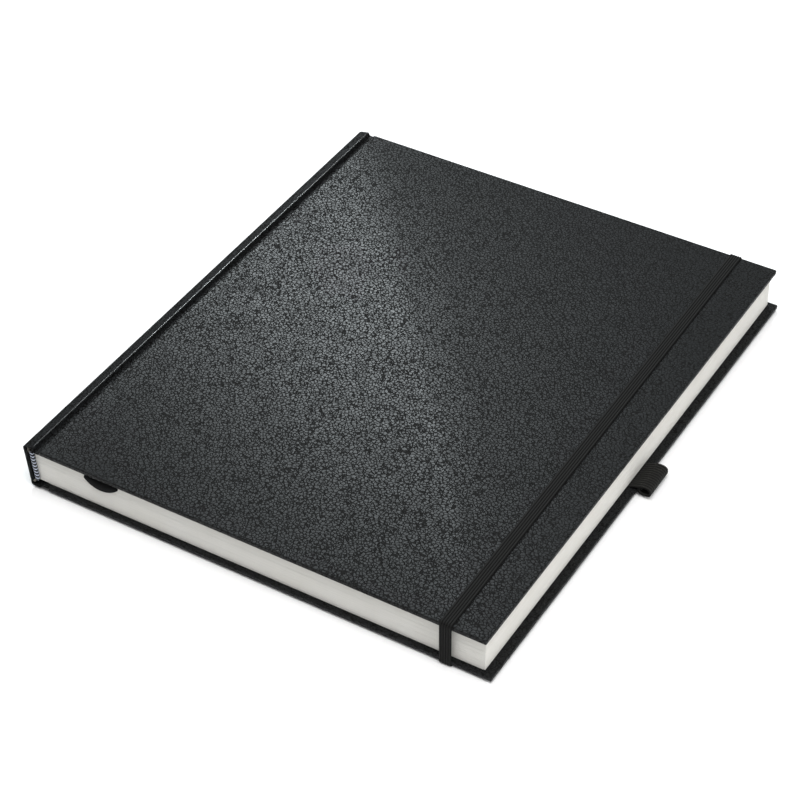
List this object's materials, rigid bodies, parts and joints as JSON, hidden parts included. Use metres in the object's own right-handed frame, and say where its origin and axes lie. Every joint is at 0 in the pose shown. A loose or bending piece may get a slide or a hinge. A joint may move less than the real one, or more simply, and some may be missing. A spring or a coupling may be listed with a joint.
{
  "type": "sketchbook",
  "caption": "Black hardcover sketchbook, case bound, with an elastic band closure, ribbon marker, pen loop and striped headbands.",
  "frame": {"origin": "middle of the footprint, on the surface the book lies on, which touches the underside of the elastic band's two ends", "axes": "+X from the spine to the fore edge, +Y from the tail to the head, +Z from the back cover to the front cover"},
  "size_m": [0.224, 0.2616, 0.022],
  "materials": {
    "cover_cloth": "pebble-embossed black bookbinding leatherette, semi-matt",
    "grey_board": "grey binder's board",
    "endpaper": "smooth off-white endpaper",
    "page_paper": "uncoated off-white drawing paper",
    "mull": "open-weave cotton mull",
    "thread": "waxed linen thread",
    "striped_band": "woven headband, black and blue-white stripes",
    "ribbon": "black satin ribbon",
    "elastic": "black ribbed flat elastic"
  },
  "bodies": {
    "back_case_and_block": {"back_board": "grey_board", "back_cover_cloth": "cover_cloth", "back_pastedown": "endpaper", "spine_cloth": "cover_cloth", "spine_board": "grey_board", "spine_mull": "mull", "sewing_thread": "thread", "tailband": "striped_band", "headband": "striped_band", "back_flyleaf": "endpaper", "section_8": "page_paper", "section_7": "page_paper", "section_6": "page_paper", "section_5": "page_paper", "section_4": "page_paper", "section_3": "page_paper", "section_2": "page_paper", "section_1_fold": "page_paper", "front_endpaper_fold": "endpaper", "ribbon_marker": "ribbon", "band_tail_leg": "elastic", "band_head_leg": "elastic", "band_tail_end": "elastic", "band_head_end": "elastic", "pen_loop_tab": "elastic"},
    "front_cover": {"front_board": "grey_board", "front_cover_cloth": "cover_cloth", "front_pastedown": "endpaper"},
    "flyleaf": {"front_flyleaf": "endpaper"},
    "first_section": {"section_1_leaves": "page_paper"},
    "closure_band": {"band_front_run": "elastic"},
    "ribbon_tail": {"ribbon_end": "ribbon"},
    "pen_loop": {"pen_loop": "elastic"}
  },
  "joints": [
    {"name": "front_cover_hinge", "type": "hinge", "parent": "back_case_and_block", "child": "front_cover", "pos_m": [-0.10681, 0, 0.0219], "axis": [0, -1, 0], "range_deg": [0, 186], "deforming": ["band_front_run", "band_tail_leg", "band_head_leg"]},
    {"name": "flyleaf_turn", "type": "hinge", "parent": "back_case_and_block", "child": "flyleaf", "pos_m": [-0.10681, 0, 0.0219], "axis": [0, -1, 0], "range_deg": [0, 180]},
    {"name": "first_section_turn", "type": "hinge", "parent": "back_case_and_block", "child": "first_section", "pos_m": [-0.10681, 0, 0.0219], "axis": [0, -1, 0], "range_deg": [0, 174]},
    {"name": "closure_band_release", "type": "slide", "parent": "back_case_and_block", "child": "closure_band", "axis": [0.8495, 0, -0.5275], "range_m": [0, 0.0253]},
    {"name": "ribbon_end_flex", "type": "hinge", "parent": "back_case_and_block", "child": "ribbon_tail", "pos_m": [-0.07531, -0.1278, 0.0167], "axis": [1, 0, 0], "range_deg": [-35, 0], "stiffness_Nm_per_rad": 0.0002},
    {"name": "pen_loop_flex", "type": "hinge", "parent": "back_case_and_block", "child": "pen_loop", "pos_m": [0.10549, -0.0017, 0.00205], "axis": [0, -1, 0], "range_deg": [-5, 20], "stiffness_Nm_per_rad": 0.02}
  ],
  "couplings": [
    {"joint": "flyleaf_turn", "follows": "front_cover_hinge", "ratio": 0.965},
    {"joint": "first_section_turn", "follows": "front_cover_hinge", "ratio": 0.93},
    {"joint": "closure_band_release", "follows": "front_cover_hinge", "m_per_rad": 0.0077925}
  ]
}
